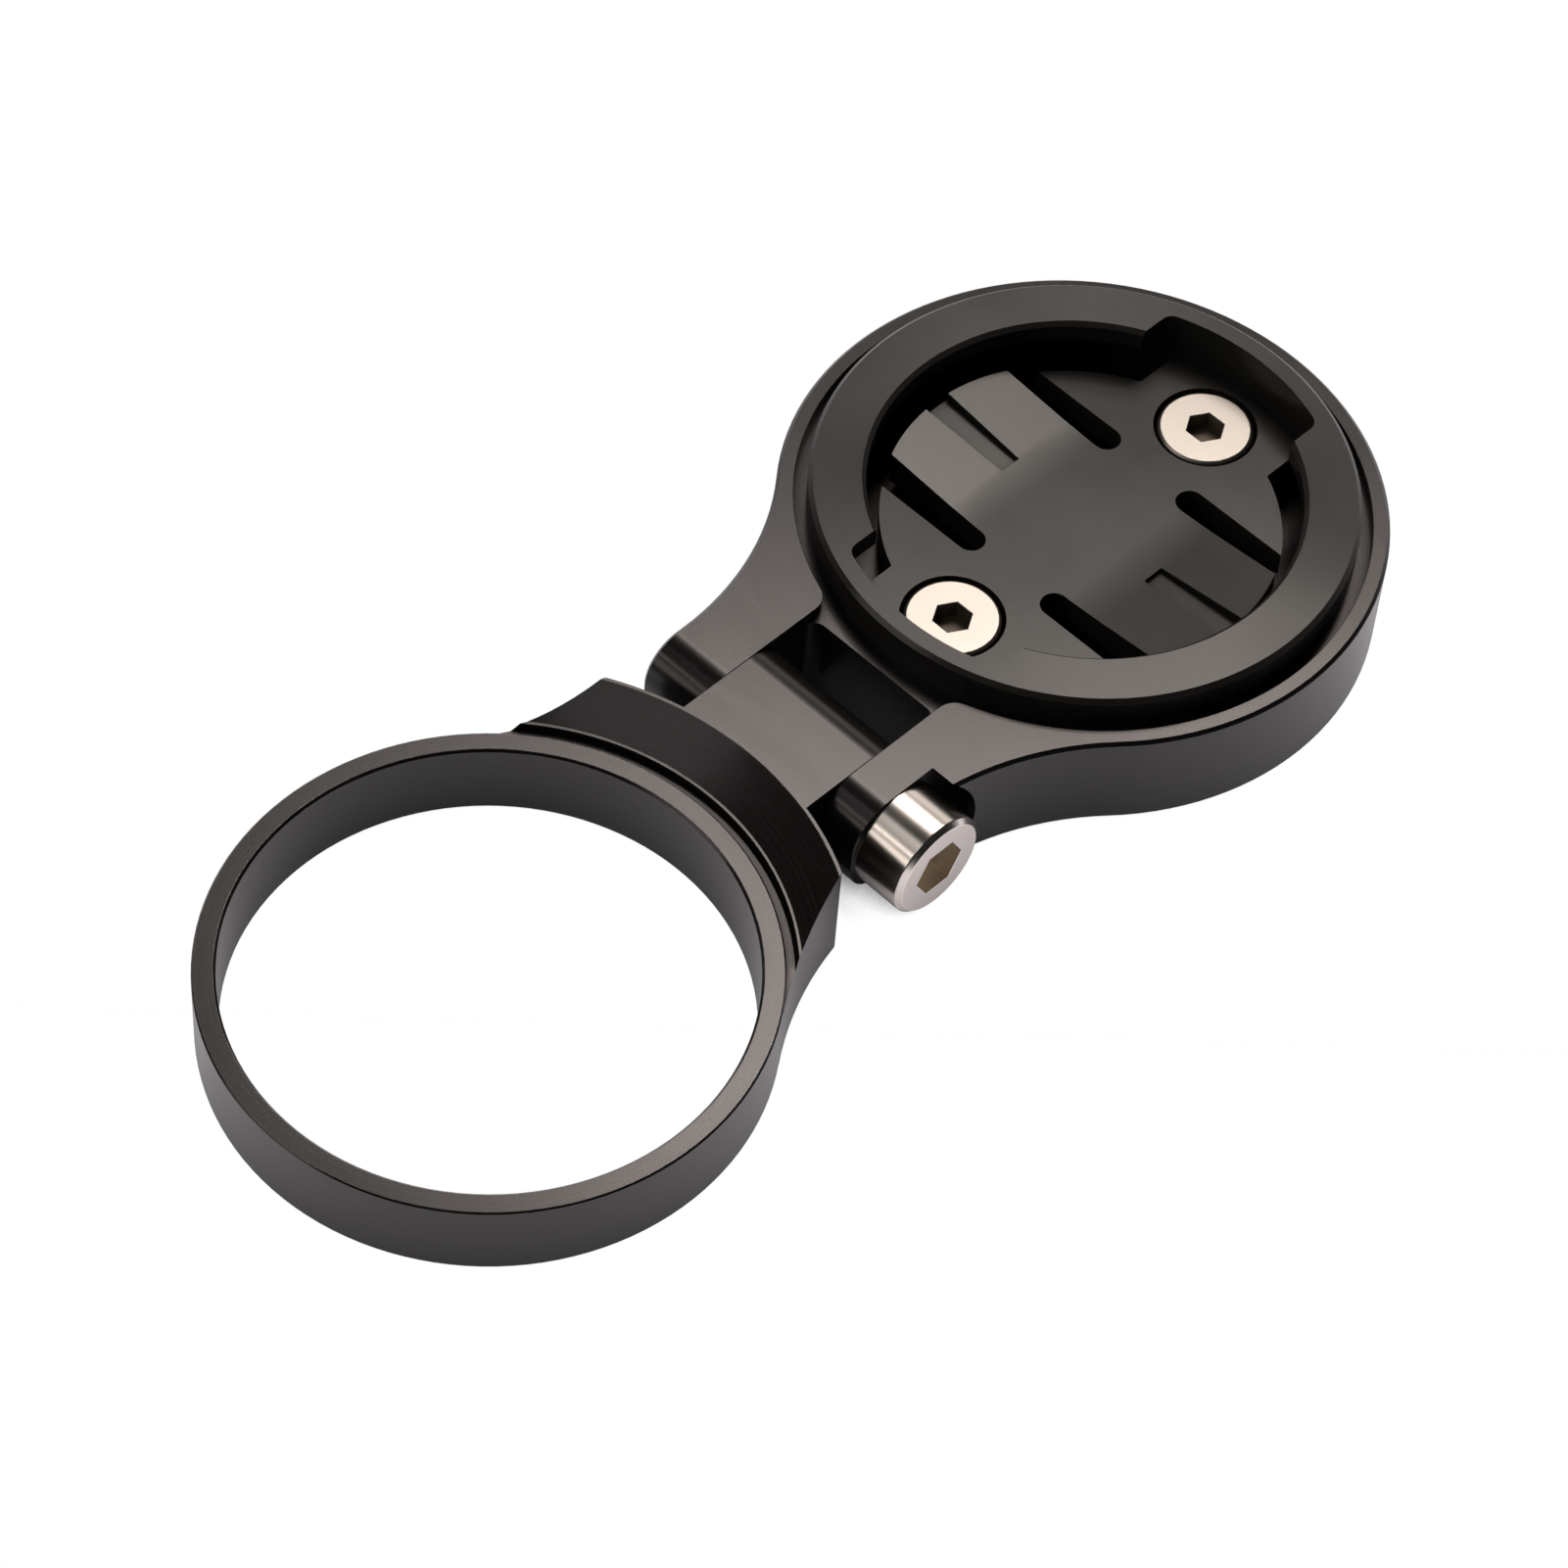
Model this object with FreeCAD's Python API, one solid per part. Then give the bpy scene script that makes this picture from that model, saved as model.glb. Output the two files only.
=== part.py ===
import FreeCAD, Part
import math
import os

# Bike computer mount that sits in the spacer stack of a steerer tube.
# Frame: origin on the steerer axis at the underside of the ring, +Z up the steerer,
# +Y from the ring to the computer platform, +X to the head of the pivot screw. Millimetres.

# Steerer ring
bore_diameter = 28.6
ring_wall = 1.3
ring_height = 5.0
ring_bore_edge = 0.15
ring_outer_edge = 0.1

# Thickness shared by the boss, the tongue and the platform arm
arm_thickness = 6.5

# Boss that grows out of the ring, and the relief turned between them
boss_half_width = 9.1
boss_reach = 3.7
boss_land = 0.2
boss_corner_radius = 0.4
flank_radius = 20.0
relief_groove_width = 0.5
relief_groove_depth = 0.5
relief_slope_width = 0.2
relief_ledge_width = 0.15

# Pivot between the tongue and the ears
pivot_boss_gap = 0.4
pivot_end_reach = 3.3
pivot_end_radius = 2.6
tongue_width = 9.4
ear_side_gap = 0.05
ear_width = 4.1
ear_seat_thickness = 2.65
spotface_radius = 4.2
pivot_bore_clearance = 0.05
pivot_thread_clearance = 0.02
window_rear_gap = 2.6
window_corner_radius = 0.8
window_web = 1.55

# Pivot screw, M4 socket head cap screw
pivot_screw_diameter = 4.0
pivot_head_diameter = 6.3
pivot_head_height = 3.4
pivot_head_edge = 0.3
pivot_screw_length = 16.0
pivot_socket_flats = 3.0
pivot_socket_depth = 2.0
pivot_point_chamfer = 0.5

# Quarter-turn insert, from its opening outwards
lip_opening_radius = 12.3
undercut_depth = 2.0
insert_wall = 0.7
rim_overhang = 0.55
rim_height = 1.5
rim_edge_break = 0.25
lip_thickness = 1.4
plate_thickness = 1.6
plate_side_gap = 2.9
bridge_half_width = 4.9
notch_half_width = 5.7
notch_corner_radius = 0.8

# Spring fingers on the left and right of the insert
slot_offset = 5.6
slot_width = 1.7
slot_inner_x = 2.4
ramp_start_x = 4.4
ramp_blend_radius = 12.0
ramp_rise = 0.7
groove_start_x = 5.5
groove_inner_width = 1.4
groove_outer_width = 1.9
groove_inner_depth = 0.3
groove_outer_depth = 0.6

# Insert screws, M3 low head
insert_screw_diameter = 3.0
insert_screw_clearance = 0.1
insert_head_diameter = 5.5
insert_head_height = 2.0
insert_head_edge = 0.15
insert_head_clearance = 0.25
insert_head_seat_thickness = 1.0
insert_post_wall = 0.9
insert_screw_wall_gap = 0.85
insert_socket_flats = 2.0
insert_socket_depth = 1.2
insert_screw_end_z = 0.3
insert_point_chamfer = 0.3

# Round platform with the pocket and the flange recess that hold the moulded insert
insert_body_clearance = 0.05
pocket_floor_thickness = 2.0
flange_side_gap = 0.8
flange_recess_depth = 0.8
recess_corner_radius = 1.3
platform_ledge_width = 1.75
platform_blend_radius = 18.0
platform_edge_break = 0.2

# Derived sizes of the ring and its boss
bore_radius = bore_diameter / 2
ring_outer_radius = bore_radius + ring_wall
boss_front_radius = ring_outer_radius + boss_reach
boss_corner_y = math.sqrt(boss_front_radius ** 2 - boss_half_width ** 2)
relief_floor_z = ring_height - relief_groove_depth
relief_groove_radius = ring_outer_radius + relief_groove_width
relief_ledge_radius = relief_groove_radius + relief_slope_width
relief_cone_radius = relief_ledge_radius + relief_ledge_width
relief_top_radius = boss_front_radius - boss_land

# Derived sizes of the pivot
pivot_y = boss_front_radius + pivot_boss_gap + pivot_end_reach
pivot_z = arm_thickness / 2
pivot_screw_radius = pivot_screw_diameter / 2
ear_inner_half_width = tongue_width / 2 + ear_side_gap
ear_outer_half_width = ear_inner_half_width + ear_width
spotface_x = ear_inner_half_width + ear_seat_thickness
window_end_y = pivot_y + pivot_end_reach + window_rear_gap

# Derived sizes of the insert and of the pocket and platform round it
undercut_radius = lip_opening_radius + undercut_depth
insert_body_radius = undercut_radius + insert_wall
rim_outer_radius = insert_body_radius + rim_overhang
pocket_radius = insert_body_radius + insert_body_clearance
platform_radius = rim_outer_radius + platform_ledge_width
recess_radius = rim_outer_radius + flange_side_gap
recess_floor_z = arm_thickness - flange_recess_depth
platform_y = window_end_y + window_web + pocket_radius
rim_top_z = arm_thickness + rim_height
lip_bottom_z = rim_top_z - lip_thickness
insert_head_seat_z = pocket_floor_thickness + insert_head_seat_thickness
plate_top_z = insert_head_seat_z + insert_head_height
plate_bottom_z = plate_top_z - plate_thickness
plate_radius = undercut_radius - plate_side_gap
insert_screw_radius = insert_screw_diameter / 2
insert_recess_radius = insert_head_diameter / 2 + insert_head_clearance
insert_post_radius = insert_recess_radius + insert_post_wall
insert_screw_offset = undercut_radius - insert_recess_radius - insert_screw_wall_gap
ramp_slope = ramp_rise / (plate_radius - ramp_start_x)
finger_half_width = slot_offset - slot_width / 2

# Two places closer than this are the same place
touch = 1e-6

# Largest share of a wall that a fillet on its edge may take
fillet_share = 0.95

# Oversize for cutting tools, so that no face of a tool lies on a face of the part
over = 1.0
up = FreeCAD.Vector(0, 0, 1)
along_x = FreeCAD.Vector(1, 0, 0)
origin = FreeCAD.Vector(0, 0, 0)


def vec(x, y, z=0.0):
    return FreeCAD.Vector(x, y, z)


def line(a, b):
    return Part.makeLine(a, b)


def arc(a, middle, b):
    return Part.Arc(a, middle, b).toShape()


def prism(edges, height):
    """Solid of a closed outline, pushed along a vector or up by a height."""
    push = height if isinstance(height, FreeCAD.Vector) else vec(0, 0, height)
    return Part.Face(Part.Wire(edges)).extrude(push)


def polygon(points):
    closed = points + [points[0]]
    return [line(a, b) for a, b in zip(closed, closed[1:])]


def turned(edges, centre=origin, axis=up):
    """Solid of revolution of a closed half section."""
    return Part.Face(Part.Wire(edges)).revolve(centre, axis, 360)


def cylinder(radius, low_z, high_z, x=0.0, y=0.0):
    return Part.makeCylinder(radius, high_z - low_z, vec(x, y, low_z), up)


def cross_cylinder(radius, from_x, to_x):
    """Cylinder on the pivot axis."""
    return Part.makeCylinder(radius, to_x - from_x, vec(from_x, pivot_y, pivot_z), along_x)


def box(x0, x1, y0, y1, z0, z1):
    return Part.makeBox(x1 - x0, y1 - y0, z1 - z0, vec(x0, y0, z0))


def mirrored_x(shape):
    return shape.mirror(origin, along_x)


def left_of(point):
    """The same point on the left side of the part."""
    return vec(-point.x, point.y)


def on_circle(centre, radius, towards):
    """Point of a circle that lies towards another point."""
    ray = towards - centre
    ray.normalize()
    return centre + ray * radius


def hexagon_prism(flats, low, high, centre, axis):
    """Hexagonal prism along Z or X, with its distance across flats."""
    corner = flats / math.sqrt(3)
    points = []
    for k in range(6):
        turn = math.radians(60 * k)
        a = corner * math.cos(turn)
        b = corner * math.sin(turn)
        if axis == "z":
            points.append(vec(centre.x + a, centre.y + b, low))
        else:
            points.append(vec(low, centre.y + a, centre.z + b))
    push = vec(0, 0, high - low) if axis == "z" else vec(high - low, 0, 0)
    return prism(polygon(points), push)


def flank_centre():
    """Centre of the hollow flank: tangent to the ring, through the boss corner."""
    corner = vec(boss_half_width, boss_corner_y)
    reach = ring_outer_radius + flank_radius
    gap = corner.Length
    along = (reach ** 2 - flank_radius ** 2 + gap ** 2) / (2 * gap)
    aside = math.sqrt(reach ** 2 - along ** 2)
    unit = vec(corner.x / gap, corner.y / gap)
    return unit * along + vec(unit.y, -unit.x) * aside


def boss_block():
    """Boss from the ring out to its round front face, between two hollow flanks."""
    corner = vec(boss_half_width, boss_corner_y)
    centre = flank_centre()
    root = on_circle(origin, ring_outer_radius, centre)
    hollow = on_circle(centre, flank_radius, (corner + root) * 0.5)
    edges = [
        line(origin, root),
        arc(root, hollow, corner),
        arc(corner, vec(0, boss_front_radius), left_of(corner)),
        arc(left_of(corner), left_of(hollow), left_of(root)),
        line(left_of(root), origin),
    ]
    block = prism(edges, arm_thickness)
    corners = [e for e in block.Edges
               if abs(e.BoundBox.YMin - boss_corner_y) < touch and e.BoundBox.ZLength > over]
    return block.makeFillet(boss_corner_radius, corners)


def relief_tool():
    """Turned tool that clears the boss above the ring: a groove beside the ring, a narrow
    ledge level with the ring's top, and a cone that rises to the top of the boss."""
    b = ring_outer_edge
    ring = ring_outer_radius
    sky = arm_thickness + over
    section = [
        vec(0, 0, ring_height),
        vec(ring - b, 0, ring_height),
        vec(ring, 0, ring_height - b),
        vec(ring, 0, relief_floor_z),
        vec(relief_groove_radius, 0, relief_floor_z),
        vec(relief_ledge_radius, 0, ring_height),
        vec(relief_cone_radius, 0, ring_height),
        vec(relief_top_radius, 0, arm_thickness),
        vec(relief_top_radius, 0, sky),
        vec(0, 0, sky),
    ]
    return turned(polygon(section))


def rounded_end(block, half, end_y):
    """The block with the top and bottom edges of its end face at end_y rounded."""
    edges = [e for e in block.Edges
             if abs(e.BoundBox.YMin - end_y) < touch and abs(e.BoundBox.YMax - end_y) < touch
             and e.BoundBox.XLength > half]
    room = fillet_share * min(pivot_end_reach, arm_thickness / 2)
    return block.makeFillet(min(pivot_end_radius, room), edges)


def ring_body():
    """Spacer ring with its four edges broken."""
    bore = ring_bore_edge
    rim = ring_outer_edge
    inner = bore_radius
    outer = ring_outer_radius
    section = [
        vec(inner + bore, 0, 0),
        vec(outer - rim, 0, 0),
        vec(outer, 0, rim),
        vec(outer, 0, ring_height - rim),
        vec(outer - rim, 0, ring_height),
        vec(inner + bore, 0, ring_height),
        vec(inner, 0, ring_height - bore),
        vec(inner, 0, bore),
    ]
    return turned(polygon(section))


def bore_tool():
    """Bore of the ring with the broken edge at both ends."""
    b = ring_bore_edge
    r = bore_radius
    section = [
        vec(0, 0, -over),
        vec(r + b + over, 0, -over),
        vec(r, 0, b),
        vec(r, 0, ring_height - b),
        vec(r + b + over, 0, ring_height + over),
        vec(0, 0, ring_height + over),
    ]
    return turned(polygon(section))


def steerer_ring():
    """Ring, boss and tongue in one piece of aluminium."""
    half = tongue_width / 2
    end_y = pivot_y + pivot_end_reach
    tongue = box(-half, half, boss_corner_y, end_y, 0, arm_thickness)
    boss = boss_block().fuse(rounded_end(tongue, half, end_y)).cut(relief_tool())
    body = ring_body().fuse(boss).cut(bore_tool())
    bore = cross_cylinder(pivot_screw_radius + pivot_bore_clearance, -half - over, half + over)
    return body.cut(bore).removeSplitter()


def platform_outline():
    """Outline of the arm: ears, hollow flanks and the round platform."""
    half = ear_outer_half_width
    end_y = pivot_y - pivot_end_reach
    blend = platform_blend_radius
    centre_x = half + blend
    reach = platform_radius + blend
    centre_y = platform_y - math.sqrt(reach ** 2 - centre_x ** 2)
    middle = vec(0, platform_y)
    blend_centre = vec(centre_x, centre_y)
    straight_end = vec(half, centre_y)
    round_start = on_circle(middle, platform_radius, blend_centre)
    hollow = on_circle(blend_centre, blend, (straight_end + round_start) * 0.5)
    return [
        line(vec(-half, end_y), vec(half, end_y)),
        line(vec(half, end_y), straight_end),
        arc(straight_end, hollow, round_start),
        arc(round_start, vec(0, platform_y + platform_radius), left_of(round_start)),
        arc(left_of(round_start), left_of(hollow), left_of(straight_end)),
        line(left_of(straight_end), vec(-half, end_y)),
    ]


def outer_wall_edges(shape):
    """Edges all round the arm's outer wall: those that only one of its upright faces has."""
    walls = []
    for face in shape.Faces:
        u0, u1, v0, v1 = face.ParameterRange
        normal = face.normalAt((u0 + u1) / 2, (v0 + v1) / 2)
        upright = abs(normal.z) < touch
        ear_end = abs(normal.y + 1) < touch
        if upright and not ear_end:
            walls.append(face)
    edges = [edge for face in walls for edge in face.Edges]
    return [e for e in edges if sum(1 for other in edges if e.isSame(other)) == 1]


def window_tool():
    """Gap between the ears, with rounded inner corners."""
    half = ear_inner_half_width
    low = pivot_y - pivot_end_reach - over
    block = box(-half, half, low, window_end_y, -over, arm_thickness + over)
    corners = [e for e in block.Edges
               if abs(e.BoundBox.YMin - window_end_y) < touch and e.BoundBox.ZLength > over]
    return block.makeFillet(min(window_corner_radius, fillet_share * half), corners)


def flange_recess_tool():
    """Recess for the insert's flange, open to the gap between the ears, its corners rounded."""
    half = ear_inner_half_width
    high = arm_thickness + over
    round_part = cylinder(recess_radius, recess_floor_z, high, y=platform_y)
    open_part = box(-half, half, window_end_y - over, platform_y, recess_floor_z, high)
    tool = round_part.fuse(open_part)
    corners = []
    for edge in tool.Edges:
        upright = edge.BoundBox.ZLength > flange_recess_depth
        meets_side = abs(abs(edge.BoundBox.XMin) - half) < touch
        if upright and meets_side and edge.BoundBox.YMin > window_end_y:
            corners.append(edge)
    return tool.makeFillet(recess_corner_radius, corners)


def platform_arm():
    """Yoke and round platform in one piece of aluminium."""
    half = ear_outer_half_width
    slab = prism(platform_outline(), arm_thickness)
    slab = rounded_end(slab, half, pivot_y - pivot_end_reach)
    body = slab.makeChamfer(platform_edge_break, outer_wall_edges(slab))
    body = body.cut(window_tool()).cut(flange_recess_tool())
    body = body.cut(cylinder(pocket_radius, pocket_floor_thickness, arm_thickness + over,
                             y=platform_y))
    reach = half + platform_radius
    body = body.cut(cross_cylinder(spotface_radius, spotface_x, reach))
    clear_bore = cross_cylinder(pivot_screw_radius + pivot_bore_clearance, 0, reach)
    thread_bore = cross_cylinder(pivot_screw_radius + pivot_thread_clearance, -reach, 0)
    body = body.cut(clear_bore).cut(thread_bore)
    for side in (-1, 1):
        y = platform_y + side * insert_screw_offset
        body = body.cut(cylinder(insert_screw_radius, -over, arm_thickness, y=y))
    return body.removeSplitter()


def insert_section():
    """Half section of the insert: plate, wall, flange and lip."""
    b = rim_edge_break
    return [
        vec(0, 0, plate_bottom_z),
        vec(undercut_radius, 0, plate_bottom_z),
        vec(undercut_radius, 0, pocket_floor_thickness),
        vec(insert_body_radius, 0, pocket_floor_thickness),
        vec(insert_body_radius, 0, recess_floor_z),
        vec(rim_outer_radius, 0, recess_floor_z),
        vec(rim_outer_radius, 0, rim_top_z - b),
        vec(rim_outer_radius - b, 0, rim_top_z),
        vec(lip_opening_radius + b, 0, rim_top_z),
        vec(lip_opening_radius, 0, rim_top_z - b),
        vec(lip_opening_radius, 0, lip_bottom_z),
        vec(undercut_radius, 0, lip_bottom_z),
        vec(undercut_radius, 0, plate_top_z),
        vec(0, 0, plate_top_z),
    ]


def notch_tool():
    """Entry notch in the lip at the front or the rear, with rounded outer corners."""
    low = plate_top_z
    high = rim_top_z + over
    half = notch_half_width
    block = box(-half, half, 0, undercut_radius + over, low, high)
    tool = block.common(cylinder(undercut_radius, low, high))
    corners = []
    for edge in tool.Edges:
        upright = edge.BoundBox.ZLength > lip_thickness
        if upright and edge.BoundBox.YMin > lip_opening_radius:
            corners.append(edge)
    return tool.makeFillet(notch_corner_radius, corners)


def side_gap_tool():
    """Opening through the plate beside the fingers, between plate and wall."""
    low = plate_bottom_z - over
    high = plate_top_z + ramp_rise + over
    ring = cylinder(undercut_radius, low, high).cut(cylinder(plate_radius, low, high))
    side = box(bridge_half_width, undercut_radius + over, -undercut_radius, undercut_radius,
               low, high)
    return ring.common(side)


def slot_tool(side):
    """Slot beside a finger, with a round inner end."""
    low = plate_bottom_z - over
    high = plate_top_z + ramp_rise + over
    half = slot_width / 2
    y = side * slot_offset
    run = box(slot_inner_x + half, undercut_radius, y - half, y + half, low, high)
    run = run.common(cylinder(plate_radius + over, low, high))
    return run.fuse(cylinder(half, low, high, x=slot_inner_x + half, y=y))


def ramp_z(x):
    """Height of the straight part of a finger's ramp."""
    return plate_top_z + ramp_slope * (x - ramp_start_x)


def finger_ramp():
    """Ramp on top of a spring finger: a soft start, then straight up to its tip."""
    half = finger_half_width
    turn = math.atan(ramp_slope)
    run = ramp_blend_radius * math.tan(turn / 2)
    start = vec(ramp_start_x - run, -half, plate_top_z)
    end_x = ramp_start_x + run * math.cos(turn)
    end = vec(end_x, -half, ramp_z(end_x))
    centre_z = plate_top_z + ramp_blend_radius
    half_turn = turn / 2
    middle = vec(start.x + ramp_blend_radius * math.sin(half_turn), -half,
                 centre_z - ramp_blend_radius * math.cos(half_turn))
    tip_x = plate_radius + over
    root_z = plate_top_z - plate_thickness / 2
    side = [
        arc(start, middle, end),
        line(end, vec(tip_x, -half, ramp_z(tip_x))),
        line(vec(tip_x, -half, ramp_z(tip_x)), vec(tip_x, -half, root_z)),
        line(vec(tip_x, -half, root_z), vec(start.x, -half, root_z)),
        line(vec(start.x, -half, root_z), start),
    ]
    wedge = prism(side, vec(0, 2 * half, 0))
    return wedge.common(cylinder(plate_radius, root_z, plate_top_z + ramp_rise + over))


def groove_tool():
    """Tapered detent groove that deepens towards the finger's tip and is open there."""
    half = finger_half_width
    a = groove_inner_width / 2
    b = groove_outer_width / 2
    tip_x = plate_radius + over
    low = plate_bottom_z
    high = plate_top_z + ramp_rise + over
    plan = [
        vec(groove_start_x, -a, low),
        vec(tip_x, -b, low),
        vec(tip_x, b, low),
        vec(groove_start_x, a, low),
    ]
    side = [
        vec(groove_start_x, -half, ramp_z(groove_start_x) - groove_inner_depth),
        vec(tip_x, -half, ramp_z(tip_x) - groove_outer_depth),
        vec(tip_x, -half, high),
        vec(groove_start_x, -half, high),
    ]
    return prism(polygon(plan), high - low).common(prism(polygon(side), vec(0, 2 * half, 0)))


def quarter_turn_insert():
    """Moulded insert that takes the computer's quarter-turn tabs."""
    body = turned(polygon(insert_section()))
    low = pocket_floor_thickness
    for side in (-1, 1):
        y = side * insert_screw_offset
        post = cylinder(insert_post_radius, low, plate_bottom_z + over, y=y)
        post = post.common(cylinder(undercut_radius + insert_body_clearance, low, plate_top_z))
        body = body.fuse(post)
    ramp = finger_ramp()
    body = body.fuse([ramp, mirrored_x(ramp)])
    cuts = [side_gap_tool(), slot_tool(1), slot_tool(-1), groove_tool()]
    cuts = cuts + [mirrored_x(tool) for tool in cuts]
    notch = notch_tool()
    cuts = cuts + [notch, notch.mirror(origin, vec(0, 1, 0))]
    for side in (-1, 1):
        y = side * insert_screw_offset
        hole_radius = insert_screw_radius + insert_screw_clearance
        cuts.append(cylinder(hole_radius, low - over, plate_top_z, y=y))
        cuts.append(cylinder(insert_recess_radius, insert_head_seat_z, plate_top_z + over, y=y))
    for tool in cuts:
        body = body.cut(tool)
    body = body.removeSplitter()
    body.translate(vec(0, platform_y, 0))
    return body


def insert_screw(side):
    """Low head screw that holds the insert to the pocket floor."""
    head_r = insert_head_diameter / 2
    shank_r = insert_screw_radius
    edge = insert_head_edge
    point = insert_point_chamfer
    head_z = insert_head_seat_z
    top_z = head_z + insert_head_height
    end_z = insert_screw_end_z
    section = [
        vec(0, 0, end_z),
        vec(shank_r - point, 0, end_z),
        vec(shank_r, 0, end_z + point),
        vec(shank_r, 0, head_z),
        vec(head_r, 0, head_z),
        vec(head_r, 0, top_z - edge),
        vec(head_r - edge, 0, top_z),
        vec(0, 0, top_z),
    ]
    body = turned(polygon(section))
    socket = hexagon_prism(insert_socket_flats, top_z - insert_socket_depth, top_z + over,
                           origin, "z")
    body = body.cut(socket)
    body.translate(vec(0, platform_y + side * insert_screw_offset, 0))
    return body


def pivot_screw():
    """Socket head cap screw across the pivot, its head on the right ear."""
    head_r = pivot_head_diameter / 2
    shank_r = pivot_screw_radius
    edge = pivot_head_edge
    point = pivot_point_chamfer
    seat = spotface_x
    face = seat + pivot_head_height
    tip = seat - pivot_screw_length
    y = pivot_y
    section = [
        vec(tip, y, pivot_z),
        vec(tip, y, pivot_z + shank_r - point),
        vec(tip + point, y, pivot_z + shank_r),
        vec(seat, y, pivot_z + shank_r),
        vec(seat, y, pivot_z + head_r),
        vec(face - edge, y, pivot_z + head_r),
        vec(face, y, pivot_z + head_r - edge),
        vec(face, y, pivot_z),
    ]
    body = turned(polygon(section), vec(0, pivot_y, pivot_z), along_x)
    socket = hexagon_prism(pivot_socket_flats, face - pivot_socket_depth, face + over,
                           vec(0, pivot_y, pivot_z), "x")
    return body.cut(socket)


pieces = {
    "steerer_ring": steerer_ring(),
    "platform_arm": platform_arm(),
    "quarter_turn_insert": quarter_turn_insert(),
    "insert_screws": Part.makeCompound([insert_screw(-1), insert_screw(1)]),
    "pivot_screw": pivot_screw(),
}

os.makedirs("parts", exist_ok=True)
for name, shape in pieces.items():
    shape.exportStep("parts/" + name + ".step")
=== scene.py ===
import math

import bmesh
import bpy
from mathutils import Matrix, Vector


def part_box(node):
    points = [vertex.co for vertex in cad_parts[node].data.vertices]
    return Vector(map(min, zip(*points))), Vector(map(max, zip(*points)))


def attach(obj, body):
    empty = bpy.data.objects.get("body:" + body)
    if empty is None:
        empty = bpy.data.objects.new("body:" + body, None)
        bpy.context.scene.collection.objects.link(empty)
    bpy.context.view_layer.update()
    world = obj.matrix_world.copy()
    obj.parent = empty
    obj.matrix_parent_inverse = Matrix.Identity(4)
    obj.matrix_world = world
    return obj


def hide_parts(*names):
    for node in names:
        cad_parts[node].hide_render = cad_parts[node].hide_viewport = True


# Bike computer mount: a spacer ring with a boss and tongue, a platform arm that swings on the
# tongue, a moulded quarter-turn insert, and three bright screws. Metres, in the frame's own axes.

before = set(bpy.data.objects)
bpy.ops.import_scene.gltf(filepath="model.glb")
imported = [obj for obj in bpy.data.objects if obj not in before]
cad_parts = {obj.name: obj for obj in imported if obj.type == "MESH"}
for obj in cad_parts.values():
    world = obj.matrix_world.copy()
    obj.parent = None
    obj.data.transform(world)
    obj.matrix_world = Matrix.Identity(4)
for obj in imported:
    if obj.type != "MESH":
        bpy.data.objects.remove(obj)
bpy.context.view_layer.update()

MM = 0.001

# Places of the frame that finishes and lights are centred on
insert_low, insert_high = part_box("quarter_turn_insert")
screw_low, screw_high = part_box("pivot_screw")
STEERER_AXIS = (0.0, 0.0)
PLATFORM_AXIS = (0.0, (insert_low.y + insert_high.y) / 2)
BELOW_PIVOT = Vector((0.0, (screw_low.y + screw_high.y) / 2, 0.0))
INSERT_RIM_Z = insert_high.z - 0.5 * MM

# Width of the rounding on each material's edges, and the angle from which an edge is rounded
METAL_EDGE = 0.07 * MM
PLASTIC_EDGE = 0.14 * MM
STEEL_EDGE = 0.05 * MM
SHARP_FROM = math.radians(20)
SMOOTH_WITHIN = math.cos(SHARP_FROM)

# Faces closer in angle than this are one flat face; corners closer than this are one corner
FLAT_WITHIN = math.radians(0.4)
MERGE_WITHIN = 0.0005 * MM
MERGE_RESHAPED_WITHIN = 0.0025 * MM

# Area in square metres below which a face says nothing about the normal of its corners
SMALLEST_FACE = 1e-13

# Soft start of the spring fingers' ramps: the plate slopes up to them from EASE_START_X, to the
# height that their inner edges have at RAMP_EDGE_X, which is a step lower than RAMP_STEP_LIMIT
PLATE_TOP = 5.0 * MM
EASE_START_X = 3.6 * MM
RAMP_EDGE_X = 5.7 * MM
RAMP_STEP_LIMIT = 0.2 * MM
FINGER_HALF_WIDTH = 4.75 * MM
SAME_PLACE = 0.01 * MM


# Node tools

# Sockets of a Mix node that is set to colours
MIX_SHARE, MIX_FIRST, MIX_SECOND, MIX_RESULT = 0, 6, 7, 2

RISING = (0.0, 1.0)
FALLING = (1.0, 0.0)


def new_group(name, inputs, outputs):
    """Shader node group with its named sockets; gives the group, its input and its output node."""
    group = bpy.data.node_groups.new(name, "ShaderNodeTree")
    for label, kind in inputs:
        group.interface.new_socket(label, in_out="INPUT", socket_type=kind)
    for label, kind in outputs:
        group.interface.new_socket(label, in_out="OUTPUT", socket_type=kind)
    entry = group.nodes.new("NodeGroupInput")
    leave = group.nodes.new("NodeGroupOutput")
    return group, entry, leave


def add(tree, kind, **settings):
    """New node of a kind, with its settings."""
    node = tree.nodes.new(kind)
    for key, value in settings.items():
        setattr(node, key, value)
    return node


def feed(tree, value, socket):
    """Links an output to a socket, or sets the socket to a constant."""
    if isinstance(value, bpy.types.NodeSocket):
        tree.links.new(value, socket)
    else:
        socket.default_value = value


def maths(tree, operation, *values):
    """Math node on up to three values; gives its output."""
    node = add(tree, "ShaderNodeMath", operation=operation)
    for value, socket in zip(values, node.inputs):
        feed(tree, value, socket)
    return node.outputs[0]


def remap(tree, value, span, to_span):
    """Value from one span to another, kept inside it."""
    node = add(tree, "ShaderNodeMapRange", clamp=True)
    for number, socket in zip((value, *span, *to_span), node.inputs):
        feed(tree, number, socket)
    return node.outputs[0]


def split(tree, vector):
    """The three parts of a vector."""
    node = add(tree, "ShaderNodeSeparateXYZ")
    tree.links.new(vector, node.inputs[0])
    return node.outputs


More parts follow.
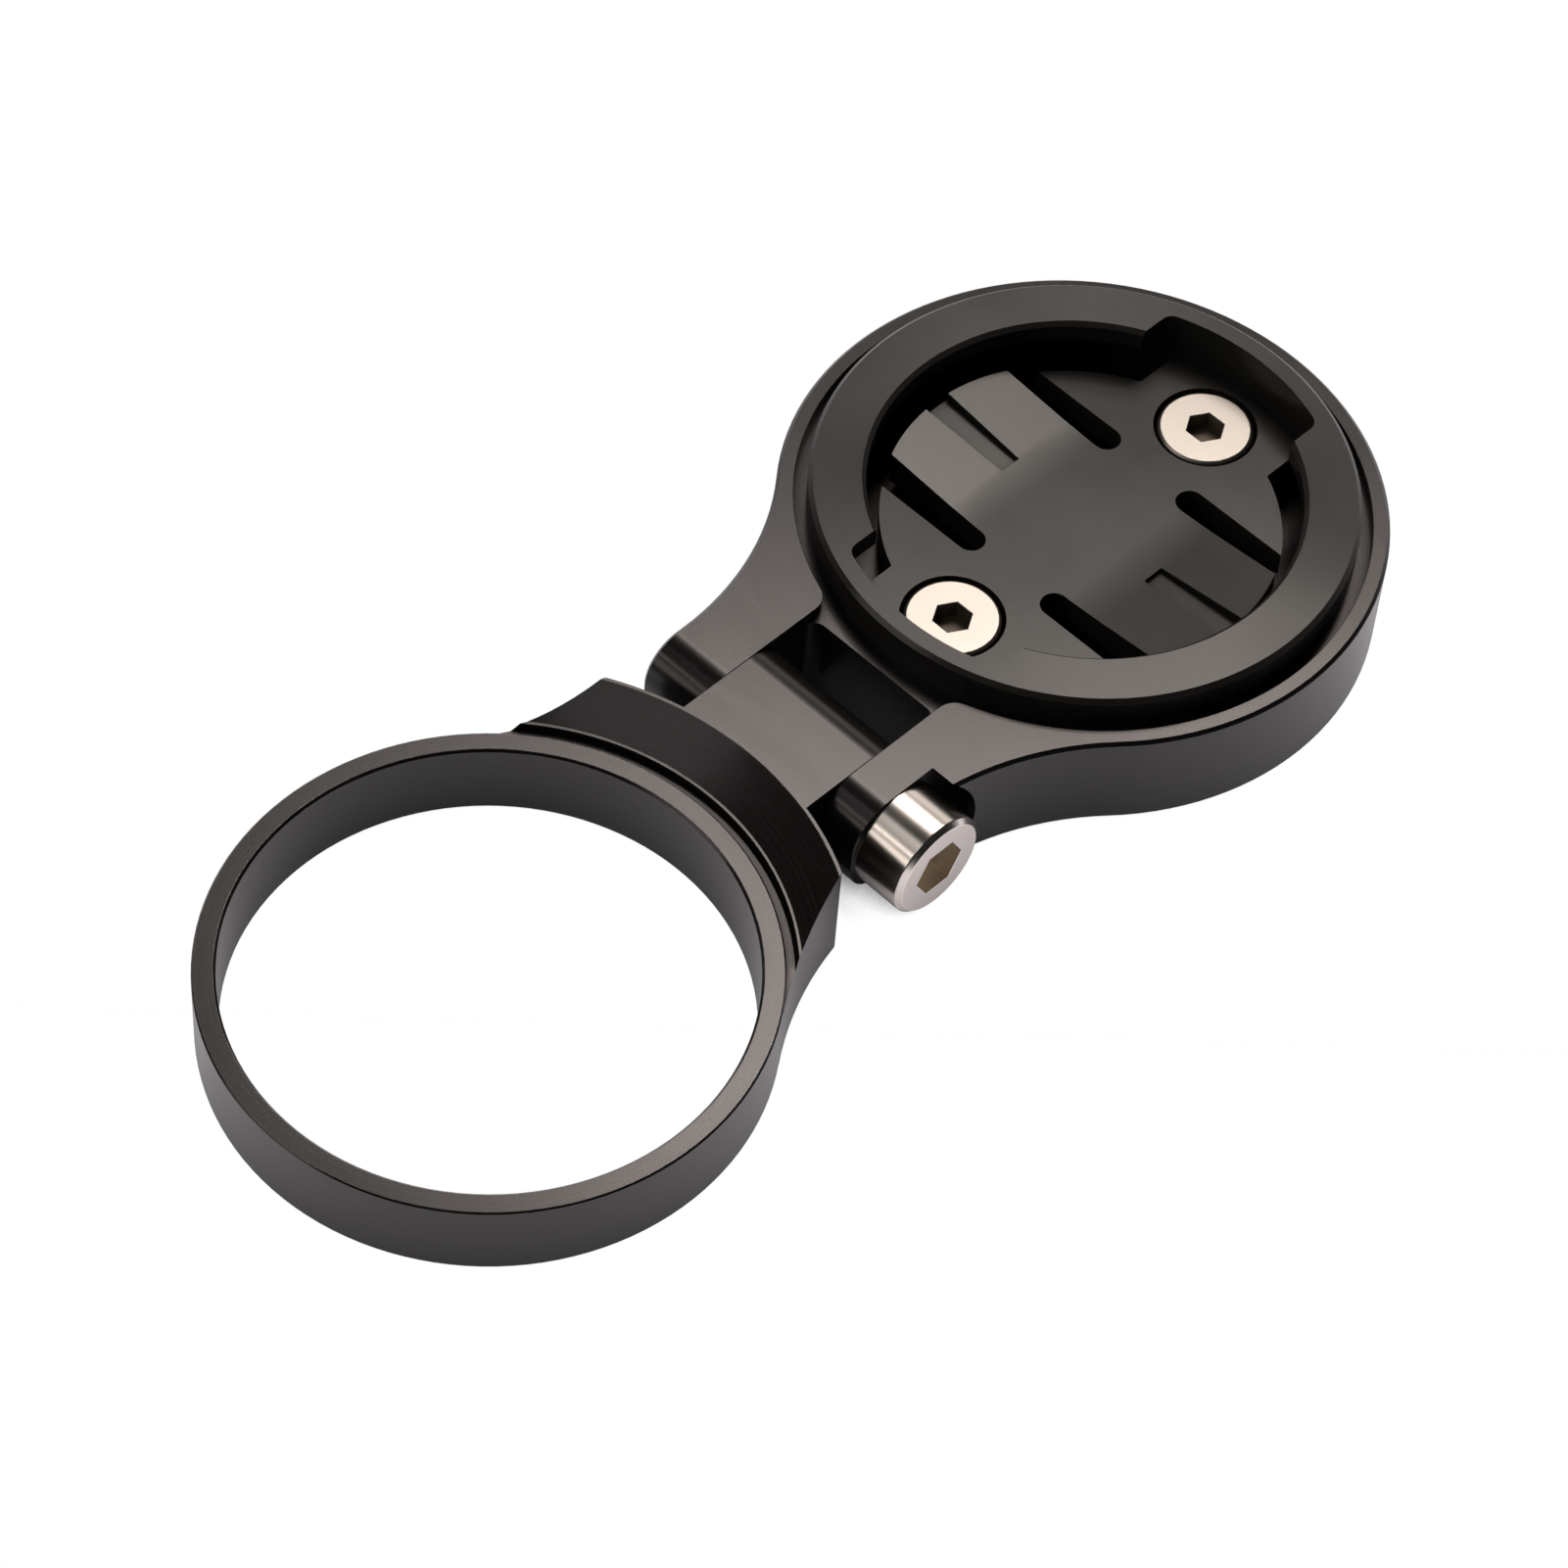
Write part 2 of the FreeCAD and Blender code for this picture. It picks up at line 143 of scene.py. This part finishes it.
def joined(tree, *parts):
    """Vector of three parts."""
    node = add(tree, "ShaderNodeCombineXYZ")
    for part, socket in zip(parts, node.inputs):
        feed(tree, part, socket)
    return node.outputs[0]


def noise(tree, vector, scale, detail=3.0, rough=0.5):
    """Noise texture on a vector; gives its value."""
    node = add(tree, "ShaderNodeTexNoise", noise_dimensions="3D")
    feed(tree, vector, node.inputs["Vector"])
    feed(tree, scale, node.inputs["Scale"])
    node.inputs["Detail"].default_value = detail
    node.inputs["Roughness"].default_value = rough
    return node.outputs["Fac"]


def blend_colour(tree, share, first, second):
    """Mix of two colours by a share; gives the colour."""
    node = add(tree, "ShaderNodeMix", data_type="RGBA")
    feed(tree, share, node.inputs[MIX_SHARE])
    feed(tree, first, node.inputs[MIX_FIRST])
    feed(tree, second, node.inputs[MIX_SECOND])
    return node.outputs[MIX_RESULT]


def blend_shader(tree, share, first, second):
    """Mix of two shaders by a share; gives the shader."""
    node = add(tree, "ShaderNodeMixShader")
    for value, socket in zip((share, first, second), node.inputs):
        tree.links.new(value, socket)
    return node.outputs[0]


# Effects that more than one finish uses

# How far the turned lines vary round the axis, and the width of a broad sweep in pitches
LINE_VARIATION = 0.8
SWEEP_PITCHES = 40.0

# Slow patches to each fine grain
PATCHES_TO_GRAINS = 0.02

# Openness at the bottom of a hollow and on an open face, and how hollow an edge may be and still
# be lightened by wear and a painted glint
HOLLOW_TO_OPEN = (0.15, 0.92)
WEAR_AND_GLINT_HOLLOW = (0.0, 0.3)

# Lightening of the rounded edges, as wear and as a painted glint: its noise, and the least share
# that is always there
WEAR_AND_GLINT_SPOTS_PER_METRE = 500.0
WEAR_AND_GLINT_SPREAD = (0.42, 0.62)
WEAR_AND_GLINT_AMOUNT = (0.3, 1.0)


def turned_lines_group():
    """Fine lines left by turning: rings on faces across an axis and hoops on walls along it."""
    group, entry, leave = new_group(
        "turned_lines",
        [("Vector", "NodeSocketVector"), ("Pitch", "NodeSocketFloat")],
        [("Height", "NodeSocketFloat"), ("Sweep", "NodeSocketFloat")])
    pitch = entry.outputs["Pitch"]
    x, y, z = split(group, entry.outputs["Vector"])
    across = maths(group, "MULTIPLY", x, x)
    along = maths(group, "MULTIPLY", y, y)
    radius = maths(group, "SQRT", maths(group, "ADD", across, along))
    angle = maths(group, "ARCTAN2", y, x)
    line = joined(group, maths(group, "DIVIDE", radius, pitch), maths(group, "DIVIDE", z, pitch),
                  maths(group, "MULTIPLY", maths(group, "COSINE", angle), LINE_VARIATION))
    group.links.new(noise(group, line, scale=1.0, detail=4.0, rough=0.6), leave.inputs["Height"])
    sweep_pitch = maths(group, "MULTIPLY", pitch, SWEEP_PITCHES)
    sweep = joined(group, maths(group, "SINE", angle), maths(group, "COSINE", angle),
                   maths(group, "DIVIDE", radius, sweep_pitch))
    group.links.new(noise(group, sweep, scale=2.0), leave.inputs["Sweep"])
    return group


def surface_grain_group():
    """Fine even grain of a blasted or moulded face, with slow patches over it."""
    group, entry, leave = new_group(
        "surface_grain",
        [("Vector", "NodeSocketVector"), ("Grains per metre", "NodeSocketFloat")],
        [("Height", "NodeSocketFloat"), ("Patches", "NodeSocketFloat")])
    place, grains = entry.outputs["Vector"], entry.outputs["Grains per metre"]
    group.links.new(noise(group, place, grains, detail=4.0), leave.inputs["Height"])
    patches = maths(group, "MULTIPLY", grains, PATCHES_TO_GRAINS)
    group.links.new(noise(group, place, patches, detail=5.0), leave.inputs["Patches"])
    return group


def edge_wear_and_glint_group():
    """Masks of edges lightened as wear and as a painted glint, and of hollows, from the openness.
    """
    group, entry, leave = new_group(
        "edge_wear_and_glint",
        [("Vector", "NodeSocketVector"), ("Openness", "NodeSocketFloat")],
        [("Mask", "NodeSocketFloat"), ("Hollow", "NodeSocketFloat")])
    hollow = remap(group, entry.outputs["Openness"], HOLLOW_TO_OPEN, FALLING)
    group.links.new(hollow, leave.inputs["Hollow"])
    edge = add(group, "ShaderNodeAttribute", attribute_type="GEOMETRY", attribute_name="rounded")
    wear_and_glint_noise = noise(group, entry.outputs["Vector"], WEAR_AND_GLINT_SPOTS_PER_METRE, rough=0.6)
    # Painted glint and wear: the share of each rounded edge that is lightened
    share = maths(group, "MULTIPLY", edge.outputs["Fac"],
                  remap(group, wear_and_glint_noise, WEAR_AND_GLINT_SPREAD, WEAR_AND_GLINT_AMOUNT))
    outer = maths(group, "MULTIPLY", share, remap(group, hollow, WEAR_AND_GLINT_HOLLOW, FALLING))
    group.links.new(outer, leave.inputs["Mask"])
    return group


TURNED = turned_lines_group()
GRAIN = surface_grain_group()
WEAR_AND_GLINT = edge_wear_and_glint_group()


# Finishes

# Reach within which other faces make a place hollow, and the openness below which gloss fades as a
# painted shade
HOLLOW_REACH = 1.6 * MM
GLOSS_OPENNESS = (0.535, 0.92)

# Values between which each noise mostly lies
PATCH_SPREAD = (0.15, 0.85)
LINE_SPREAD = (0.42, 0.62)
SWEEP_SPREAD = (0.3, 0.7)

BUMP_DEPTH = 0.01 * MM

# Black anodised aluminium: deep and light tone, the bare metal that lightens its rounded edges as
# wear and as a painted glint, and its gloss
ANODISED_DEEP = (0.003, 0.0029, 0.0029, 1)
ANODISED_LIGHT = (0.019, 0.0178, 0.0172, 1)
BARE_ALUMINIUM_AND_GLINT = (0.34, 0.325, 0.31, 1)
ANODISED_GLOSS_TINT = (1.0, 0.97, 0.985, 1)
ANODISED_WEAR_AND_GLINT = 0.7
ANODISED_ROUGHNESS = (0.19, 0.24)
ANODISED_GLOSS = (0.12, 0.5)
SWEEP_ROUGHNESS = (-0.02, 0.02)
TURNING_PITCH = 0.07 * MM

# Black glass-filled plastic, the light tone of its rounded edges as wear and as a painted glint,
# and the highlights on its turned rim
PLASTIC_DEEP = (0.013, 0.0125, 0.012, 1)
PLASTIC_LIGHT = (0.026, 0.025, 0.0238, 1)
PLASTIC_WORN_AND_GLINT = (0.12, 0.115, 0.11, 1)
PLASTIC_WEAR_AND_GLINT = 0.3
PLASTIC_ROUGHNESS = (0.21, 0.29)
PLASTIC_GLOSS = (0.15, 0.5)
RIM_SHEEN = (0.0, 0.75)
RIM_SHEEN_RISE = 0.2 * MM

# Stainless steel: shades of its tone, the lighter one of its rounded edges as wear and as a
# painted glint, and how fast and how far a hollow takes a painted tone that stands in for its
# light and shade
STEEL_DARKER = 0.95
STEEL_LIGHTER = 1.05
STEEL_POLISHED_AND_GLINT = 1.2
STEEL_WEAR_AND_GLINT = 0.4
PAINTED_HOLLOW_GAIN = 2.2
PAINTED_HOLLOW_MOST = 0.97


def use_group(tree, group, **values):
    """Outputs of a group's node with its inputs; underscores in a name stand for spaces."""
    node = add(tree, "ShaderNodeGroup", node_tree=group)
    for key, value in values.items():
        feed(tree, value, node.inputs[key.replace("_", " ")])
    return node.outputs


def start_finish(name, grains_per_metre):
    """Material with what all the finishes build on, its outputs given by name."""
    material = bpy.data.materials.new(name)
    material.use_nodes = True
    tree = material.node_tree
    place = add(tree, "ShaderNodeTexCoord").outputs["Object"]
    cover = add(tree, "ShaderNodeAmbientOcclusion", samples=6, only_local=True)
    cover.inputs["Distance"].default_value = HOLLOW_REACH
    grain = use_group(tree, GRAIN, Vector=place, Grains_per_metre=grains_per_metre)
    wear_and_glint_masks = use_group(tree, WEAR_AND_GLINT, Vector=place, Openness=cover.outputs["AO"])
    base = {
        "place": place,
        "openness": cover.outputs["AO"],
        "grain": grain["Height"],
        "patch": remap(tree, grain["Patches"], PATCH_SPREAD, RISING),
        # Share of each rounded edge lightened as wear and as a painted glint
        "wear_and_glint_share": wear_and_glint_masks["Mask"],
        "hollow": wear_and_glint_masks["Hollow"],
    }
    return material, tree, tree.nodes["Principled BSDF"], base


def centred(tree, place, axis_xy):
    """Object coordinates with an upright axis at their origin."""
    node = add(tree, "ShaderNodeMapping", vector_type="POINT")
    tree.links.new(place, node.inputs["Vector"])
    node.inputs["Location"].default_value = (-axis_xy[0], -axis_xy[1], 0.0)
    return node.outputs[0]


def bumped(tree, height, strength, below=None):
    """Bump node, over the normal of another where one is given; gives its normal."""
    node = add(tree, "ShaderNodeBump")
    node.inputs["Strength"].default_value = strength
    node.inputs["Distance"].default_value = BUMP_DEPTH
    tree.links.new(height, node.inputs["Height"])
    if below is not None:
        tree.links.new(below, node.inputs["Normal"])
    return node.outputs[0]


def wear_and_glint_colour(tree, base, share, colour, worn_and_glint):
    """Colour with a lighter one on its rounded edges, as wear and as a painted glint, up to a
    share.
    """
    return blend_colour(tree, maths(tree, "MULTIPLY", base["wear_and_glint_share"], share), colour, worn_and_glint)


def anodised_material(name, axis_xy):
    """Black anodised aluminium, turned about an upright axis and lightly blasted."""
    material, tree, shader, base = start_finish(name, grains_per_metre=11000.0)
    turned_place = centred(tree, base["place"], axis_xy)
    lines = use_group(tree, TURNED, Vector=turned_place, Pitch=TURNING_PITCH)
    streak = remap(tree, lines["Height"], LINE_SPREAD, RISING)
    mean = maths(tree, "MULTIPLY", maths(tree, "ADD", base["patch"], streak), 0.5)
    black = blend_colour(tree, mean, ANODISED_DEEP, ANODISED_LIGHT)
    # Rounded edges lightened towards bare aluminium: wear and a painted glint
    tree.links.new(wear_and_glint_colour(tree, base, ANODISED_WEAR_AND_GLINT, black, BARE_ALUMINIUM_AND_GLINT),
                   shader.inputs["Base Color"])
    swept = remap(tree, lines["Sweep"], SWEEP_SPREAD, SWEEP_ROUGHNESS)
    rough = remap(tree, base["patch"], RISING, ANODISED_ROUGHNESS)
    tree.links.new(maths(tree, "ADD", rough, swept), shader.inputs["Roughness"])
    shader.inputs["IOR"].default_value = 1.47
    shader.inputs["Specular Tint"].default_value = ANODISED_GLOSS_TINT
    # Painted shade: gloss fades in hollows
    tree.links.new(remap(tree, base["openness"], GLOSS_OPENNESS, ANODISED_GLOSS),
                   shader.inputs["Specular IOR Level"])
    blasted = bumped(tree, base["grain"], strength=0.10)
    lined = bumped(tree, lines["Height"], strength=0.11, below=blasted)
    tree.links.new(lined, shader.inputs["Normal"])
    return material


def turned_sheen(tree, shader, place, axis_xy, from_z):
    """Highlights drawn out across the turned rings of a face, about an axis and above from_z."""
    outwards = add(tree, "ShaderNodeVectorMath", operation="MULTIPLY")
    tree.links.new(centred(tree, place, axis_xy), outwards.inputs[0])
    outwards.inputs[1].default_value = (1.0, 1.0, 0.0)
    tangent = add(tree, "ShaderNodeVectorTransform", vector_type="VECTOR",
                  convert_from="OBJECT", convert_to="WORLD")
    tree.links.new(outwards.outputs[0], tangent.inputs[0])
    tree.links.new(tangent.outputs[0], shader.inputs["Tangent"])
    height = split(tree, place)["Z"]
    tree.links.new(remap(tree, height, (from_z, from_z + RIM_SHEEN_RISE), RIM_SHEEN),
                   shader.inputs["Anisotropic"])


def moulded_material(name, axis_xy, rim_z):
    """Black glass-filled plastic with a fine moulded grain and a turned rim above a height."""
    material, tree, shader, base = start_finish(name, grains_per_metre=7000.0)
    turned_sheen(tree, shader, base["place"], axis_xy, rim_z)
    black = blend_colour(tree, base["patch"], PLASTIC_DEEP, PLASTIC_LIGHT)
    # Rounded edges lightened: wear and a painted glint
    tree.links.new(wear_and_glint_colour(tree, base, PLASTIC_WEAR_AND_GLINT, black, PLASTIC_WORN_AND_GLINT),
                   shader.inputs["Base Color"])
    tree.links.new(remap(tree, base["patch"], RISING, PLASTIC_ROUGHNESS),
                   shader.inputs["Roughness"])
    shader.inputs["IOR"].default_value = 1.42
    # Painted shade: gloss fades in hollows
    tree.links.new(remap(tree, base["openness"], GLOSS_OPENNESS, PLASTIC_GLOSS),
                   shader.inputs["Specular IOR Level"])
    tree.links.new(bumped(tree, base["grain"], strength=0.12), shader.inputs["Normal"])
    return material


def steel_material(name, tone, roughness, painted_hollow_tone, painted_hollow_metal):
    """Bright stainless steel of a tone and a span of roughness, with painted light and shade in
    hollows.
    """
    material, tree, shader, base = start_finish(name, grains_per_metre=9000.0)
    darker, lighter, polished_and_glint = (tuple(shade * part for part in tone) + (1,)
                                 for shade in (STEEL_DARKER, STEEL_LIGHTER, STEEL_POLISHED_AND_GLINT))
    bright = blend_colour(tree, base["patch"], darker, lighter)
    # Rounded edges lightened: wear and a painted glint
    colour = wear_and_glint_colour(tree, base, STEEL_WEAR_AND_GLINT, bright, polished_and_glint)
    # Painted light and shade: hollows take a flat painted tone and lose metal
    painted_hollow_share = maths(tree, "MINIMUM", maths(tree, "MULTIPLY", base["hollow"], PAINTED_HOLLOW_GAIN),
                   PAINTED_HOLLOW_MOST)
    tree.links.new(blend_colour(tree, painted_hollow_share, colour, painted_hollow_tone + (1,)),
                   shader.inputs["Base Color"])
    tree.links.new(remap(tree, base["patch"], RISING, roughness), shader.inputs["Roughness"])
    tree.links.new(remap(tree, painted_hollow_share, RISING, (1.0, painted_hollow_metal)), shader.inputs["Metallic"])
    shader.inputs["Specular IOR Level"].default_value = 0.2
    tree.links.new(bumped(tree, base["grain"], strength=0.06), shader.inputs["Normal"])
    return material


# Pieces

def mean_normal(faces, corner, extent):
    """Mean of the faces' normals at a vertex, weighted by their angle there and their extent."""
    total = Vector((0.0, 0.0, 0.0))
    for face in faces:
        for loop in face.loops:
            if loop.vert is corner:
                total += face.normal * (loop.calc_angle() * face[extent])
    return total.normalized()


def corner_normals(shape, rounded, extent):
    """Normal of every face corner: flat faces stay flat and rounded edges blend between them."""
    normals = []
    for face in shape.faces:
        for loop in face.loops:
            around = [f for f in loop.vert.link_faces if f.calc_area() > SMALLEST_FACE]
            plain = [f for f in around if not f[rounded]]
            guide = face
            if face[rounded]:
                beside = [f for e in loop.vert.link_edges if face in e.link_faces
                          for f in e.link_faces if not f[rounded]]
                choice = beside or plain
                if choice:
                    guide = max(choice, key=lambda f: f.normal.dot(face.normal))
            if guide[rounded]:
                near = [f for f in around if f[rounded]]
            else:
                near = [f for f in plain if f.normal.dot(guide.normal) > SMOOTH_WITHIN]
            normal = mean_normal(near, loop.vert, extent) if near else guide.normal.copy()
            normals.append(normal if normal.length else face.normal.copy())
    return normals


def ease_finger_ramps(shape):
    """Slopes the insert's plate up to the ramps of its spring fingers, where a low step was."""
    for side in (-1, 1):
        bmesh.ops.bisect_plane(shape, geom=shape.verts[:] + shape.edges[:] + shape.faces[:],
                               dist=MERGE_WITHIN, plane_co=(side * EASE_START_X, 0, 0),
                               plane_no=(1, 0, 0))
    edge_heights = [v.co.z for v in shape.verts
                    if abs(abs(v.co.x) - RAMP_EDGE_X) < SAME_PLACE
                    and v.co.z < PLATE_TOP + RAMP_STEP_LIMIT]
    rise = max(edge_heights) - PLATE_TOP
    run = RAMP_EDGE_X - EASE_START_X
    for vert in shape.verts:
        beyond = abs(vert.co.x) - EASE_START_X
        within = abs(vert.co.y - PLATFORM_AXIS[1]) < FINGER_HALF_WIDTH + SAME_PLACE
        level = abs(vert.co.z - PLATE_TOP) < SAME_PLACE
        if within and level and 0 < beyond < run + SAME_PLACE:
            vert.co.z += rise * beyond / run


def finished_piece(name, node, body, edge, material, reshape=None):
    """Makes a copy of a frame solid, in its place, with its edges rounded and its finish."""
    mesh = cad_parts[node].data.copy()
    mesh.name = name
    shape = bmesh.new()
    shape.from_mesh(mesh)
    rounded = shape.faces.layers.int.new("rounded")
    extent = shape.faces.layers.float.new("extent")
    bmesh.ops.remove_doubles(shape, verts=shape.verts, dist=MERGE_WITHIN)
    if reshape:
        reshape(shape)
        bmesh.ops.remove_doubles(shape, verts=shape.verts, dist=MERGE_RESHAPED_WITHIN)
    bmesh.ops.dissolve_limit(shape, angle_limit=FLAT_WITHIN, verts=shape.verts,
                             edges=shape.edges)
    sharp = [e for e in shape.edges
             if len(e.link_faces) == 2 and e.calc_face_angle() > SHARP_FROM]
    made = bmesh.ops.bevel(shape, geom=sharp, offset=edge, offset_type="OFFSET", segments=3,
                           profile=0.5, affect="EDGES", clamp_overlap=True, material=-1)
    for face in made["faces"]:
        face[rounded] = 1
    for face in shape.faces:
        face[extent] = max(face.calc_area() / SMALLEST_FACE, 1.0)
    bmesh.ops.triangulate(shape, faces=shape.faces)
    for face in shape.faces:
        face.smooth = True
    shape.normal_update()
    shape.faces.index_update()
    normals = corner_normals(shape, rounded, extent)
    shape.to_mesh(mesh)
    shape.free()
    mesh.normals_split_custom_set(normals)
    mesh.materials.clear()
    mesh.materials.append(material)
    piece = bpy.data.objects.new(name, mesh)
    bpy.context.scene.collection.objects.link(piece)
    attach(piece, body)
    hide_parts(node)


RING_FINISH = anodised_material("black_anodised_ring", STEERER_AXIS)
ARM_FINISH = anodised_material("black_anodised_arm", PLATFORM_AXIS)
INSERT_FINISH = moulded_material("black_moulded", PLATFORM_AXIS, INSERT_RIM_Z)
# Painted tone in hollows: dark brown shade in the insert screws' sockets, pale warm in the clamp
# screw's socket
SCREW_FINISH = steel_material(
    "bright_steel_blasted", tone=(0.375, 0.352, 0.327), roughness=(0.36, 0.44),
    painted_hollow_tone=(0.10, 0.078, 0.054), painted_hollow_metal=0.0)
HEAD_FINISH = steel_material(
    "bright_steel_smooth", tone=(0.71, 0.66, 0.62), roughness=(0.17, 0.23),
    painted_hollow_tone=(0.96, 0.87, 0.72), painted_hollow_metal=0.45)

finished_piece("ring_with_tongue", "steerer_ring", "ring", METAL_EDGE,
               RING_FINISH)
finished_piece("arm_with_platform", "platform_arm", "platform", METAL_EDGE,
               ARM_FINISH)
finished_piece("insert_moulding", "quarter_turn_insert", "platform", PLASTIC_EDGE,
               INSERT_FINISH, ease_finger_ramps)
finished_piece("insert_screw_pair", "insert_screws", "platform", STEEL_EDGE,
               SCREW_FINISH)
finished_piece("clamp_screw_m4", "pivot_screw", "clamp_screw", STEEL_EDGE,
               HEAD_FINISH)


# Floor, backdrop and lights

FLOOR_DEPTH = 0.05 * MM
FLOOR_HALF = 3.0

# Floor under the part, with a painted shadow: how open it is where the painted shadow darkens it,
# and its white there and in the open, as the camera sees it and as reflections do
FLOOR_REACH = 20 * MM
SEEN_OPENNESS, SEEN_WHITE = (0.04, 0.22), (0.05, 1.0)
MIRRORED_OPENNESS, MIRRORED_WHITE = (0.08, 0.9), (0.03, 1.0)
MIRRORED_FADE = 1.25
MIRRORED_TINT = (1.0, 0.955, 0.985, 1)

# Matte tone of the floor: a soft cloud between two shades
CLOUDS_PER_METRE = 3.0
CLOUD_SPREAD = (0.3, 0.7)
FLOOR_SHADES = (0.79, 0.81)

# Backdrop: the heights of the line of sight between which it fades, and its strength at each
BACKDROP_HEIGHT = (0.0, 0.2)
BACKDROP_STRENGTH = (0.41, 0.02)
BACKDROP_TINT = (1.0, 0.985, 0.97, 1)


def floor_material():
    """White floor for the camera and for reflections, with a painted shadow where the part covers
    it closely.
    """
    material = bpy.data.materials.new("pale_floor")
    material.use_nodes = True
    tree = material.node_tree
    tree.nodes.clear()
    path = add(tree, "ShaderNodeLightPath")
    mirrored = maths(tree, "MAXIMUM", path.outputs["Is Glossy Ray"],
                     path.outputs["Is Transmission Ray"])
    cover = add(tree, "ShaderNodeAmbientOcclusion", samples=8)
    cover.inputs["Distance"].default_value = FLOOR_REACH
    # Painted shadow: the floor's white darkens where the part covers it closely
    to_camera = remap(tree, cover.outputs["AO"], SEEN_OPENNESS, SEEN_WHITE)
    open_share = remap(tree, cover.outputs["AO"], MIRRORED_OPENNESS, MIRRORED_WHITE)
    to_mirror = maths(tree, "POWER", open_share, MIRRORED_FADE)
    place = add(tree, "ShaderNodeTexCoord").outputs["Object"]
    cloud = remap(tree, noise(tree, place, CLOUDS_PER_METRE, detail=2.0), CLOUD_SPREAD,
                  FLOOR_SHADES)
    tone = add(tree, "ShaderNodeCombineColor")
    for socket in tone.inputs:
        tree.links.new(cloud, socket)
    matte = add(tree, "ShaderNodeBsdfDiffuse")
    tree.links.new(tone.outputs[0], matte.inputs["Color"])
    seen = add(tree, "ShaderNodeEmission")
    tree.links.new(to_camera, seen.inputs["Strength"])
    reflected = add(tree, "ShaderNodeEmission")
    reflected.inputs["Color"].default_value = MIRRORED_TINT
    tree.links.new(to_mirror, reflected.inputs["Strength"])
    unseen = blend_shader(tree, mirrored, matte.outputs[0], reflected.outputs[0])
    whole = blend_shader(tree, path.outputs["Is Camera Ray"], unseen, seen.outputs[0])
    out = add(tree, "ShaderNodeOutputMaterial")
    tree.links.new(whole, out.inputs["Surface"])
    return material


def make_floor():
    """Plain floor just under the part."""
    shape = bmesh.new()
    bmesh.ops.create_grid(shape, x_segments=1, y_segments=1, size=FLOOR_HALF)
    bmesh.ops.translate(shape, verts=shape.verts, vec=(0, 0, -FLOOR_DEPTH))
    mesh = bpy.data.meshes.new("floor")
    shape.to_mesh(mesh)
    shape.free()
    mesh.materials.append(floor_material())
    floor = bpy.data.objects.new("floor", mesh)
    bpy.context.scene.collection.objects.link(floor)


def make_world():
    """Dim studio: a pale backdrop low down and a dark ceiling; the camera sees white."""
    world = bpy.data.worlds.new("studio")
    bpy.context.scene.world = world
    world.use_nodes = True
    tree = world.node_tree
    shade = tree.nodes["Background"]
    path = add(tree, "ShaderNodeLightPath")
    height = split(tree, add(tree, "ShaderNodeTexCoord").outputs["Generated"])["Z"]
    lift = remap(tree, height, BACKDROP_HEIGHT, BACKDROP_STRENGTH)
    level = maths(tree, "MAXIMUM", lift, path.outputs["Is Camera Ray"])
    tree.links.new(level, shade.inputs["Strength"])
    shade.inputs["Color"].default_value = BACKDROP_TINT


def soft_light(name, centre, width, height, radiance, colour, aimed=False):
    """Rectangular soft light, level or aimed at the pivot; its place and size in millimetres."""
    light = bpy.data.lights.new(name, "AREA")
    light.shape = "RECTANGLE"
    light.size = width * MM
    light.size_y = height * MM
    light.energy = radiance * math.pi * light.size * light.size_y
    light.color = colour
    box = bpy.data.objects.new(name, light)
    bpy.context.scene.collection.objects.link(box)
    box.location = Vector(centre) * MM
    if aimed:
        aim = BELOW_PIVOT - box.location
        box.rotation_euler = aim.to_track_quat("-Z", "Y").to_euler()


make_floor()
make_world()

# Name, centre, width, height, radiance and colour of each light
soft_light("main", (-95, 122, 206), 60, 70, 6.2, (1.0, 0.91, 0.84))
soft_light("main_right", (-50, 140, 206), 30, 105, 19.0, (1.0, 0.90, 0.81))
soft_light("main_far", (-74, 172, 206), 24, 30, 4.0, (1.0, 0.91, 0.84))
soft_light("panel", (-190, 250, 400), 330, 330, 0.70, (1.0, 0.95, 0.90))
soft_light("low_behind", (-210, 463, 250), 350, 160, 0.95, (1.0, 0.94, 0.86), aimed=True)
soft_light("low_front", (-330, -597, 300), 450, 220, 1.45, (1.0, 0.93, 0.85), aimed=True)
soft_light("above_front", (-75, -212, 435), 260, 220, 0.95, (1.0, 0.97, 0.93))
soft_light("front_strip", (-262, -394, 416), 230, 55, 2.8, (1.0, 0.95, 0.88), aimed=True)


# Camera at the photograph's angle

SENSOR = 36.0
LENS = 123.57
LOOK_AT = Vector((-0.574 * MM, 22.752 * MM, 0.1 * MM))
DISTANCE = 296.75 * MM
AZIMUTH = math.radians(41.327)
ELEVATION = math.radians(51.886)
ROLL = math.radians(4.722)


def make_camera():
    """Camera that looks at the part from its azimuth and elevation, with a small roll."""
    back = Vector((math.sin(AZIMUTH) * math.cos(ELEVATION),
                   -math.cos(AZIMUTH) * math.cos(ELEVATION), math.sin(ELEVATION)))
    level = Vector((math.cos(AZIMUTH), math.sin(AZIMUTH), 0))
    rise = back.cross(level)
    right = math.cos(ROLL) * level + math.sin(ROLL) * rise
    top = math.cos(ROLL) * rise - math.sin(ROLL) * level
    lens = bpy.data.cameras.new("camera")
    lens.sensor_width = SENSOR
    lens.lens = LENS
    lens.clip_start = 0.01
    lens.clip_end = 20.0
    camera = bpy.data.objects.new("camera", lens)
    turn = Matrix((right, top, back)).transposed().to_4x4()
    camera.matrix_world = Matrix.Translation(LOOK_AT + back * DISTANCE) @ turn
    bpy.context.scene.collection.objects.link(camera)
    bpy.context.scene.camera = camera


make_camera()
bpy.context.scene.view_settings.view_transform = "Standard"
